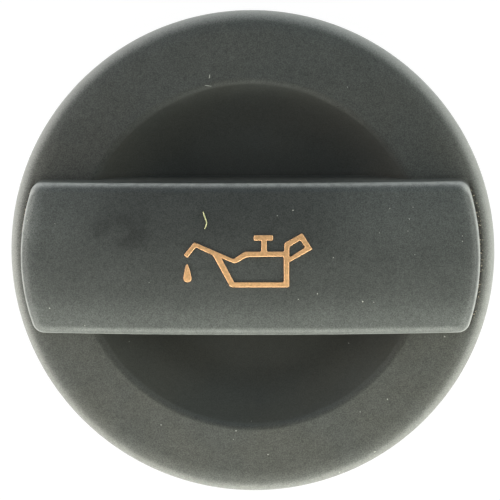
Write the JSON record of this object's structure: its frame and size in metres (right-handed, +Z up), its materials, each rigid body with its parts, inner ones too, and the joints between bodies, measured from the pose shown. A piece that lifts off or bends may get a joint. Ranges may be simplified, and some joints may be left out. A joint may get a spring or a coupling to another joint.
{
  "type": "oil filler cap",
  "caption": "Round quarter-turn oil filler cap with a full-width crossbar over a bowl-shaped finger recess, a bayonet plug and a sealing ring.",
  "frame": {"origin": "centre of the plug's foot, on the surface the cap stands on", "axes": "+Z up from the foot to the crossbar, +X along the crossbar"},
  "size_m": [0.066, 0.066, 0.0317],
  "materials": {
    "cover_nylon": "fine moulded grain, matte grey-black glass-filled nylon",
    "plug_nylon": "smooth moulded black glass-filled nylon",
    "seal_rubber": "matte moulded elastomer"
  },
  "bodies": {
    "root": {"grip_cover": "cover_nylon", "bayonet_plug": "plug_nylon", "sealing_ring": "seal_rubber"}
  },
  "joints": []
}
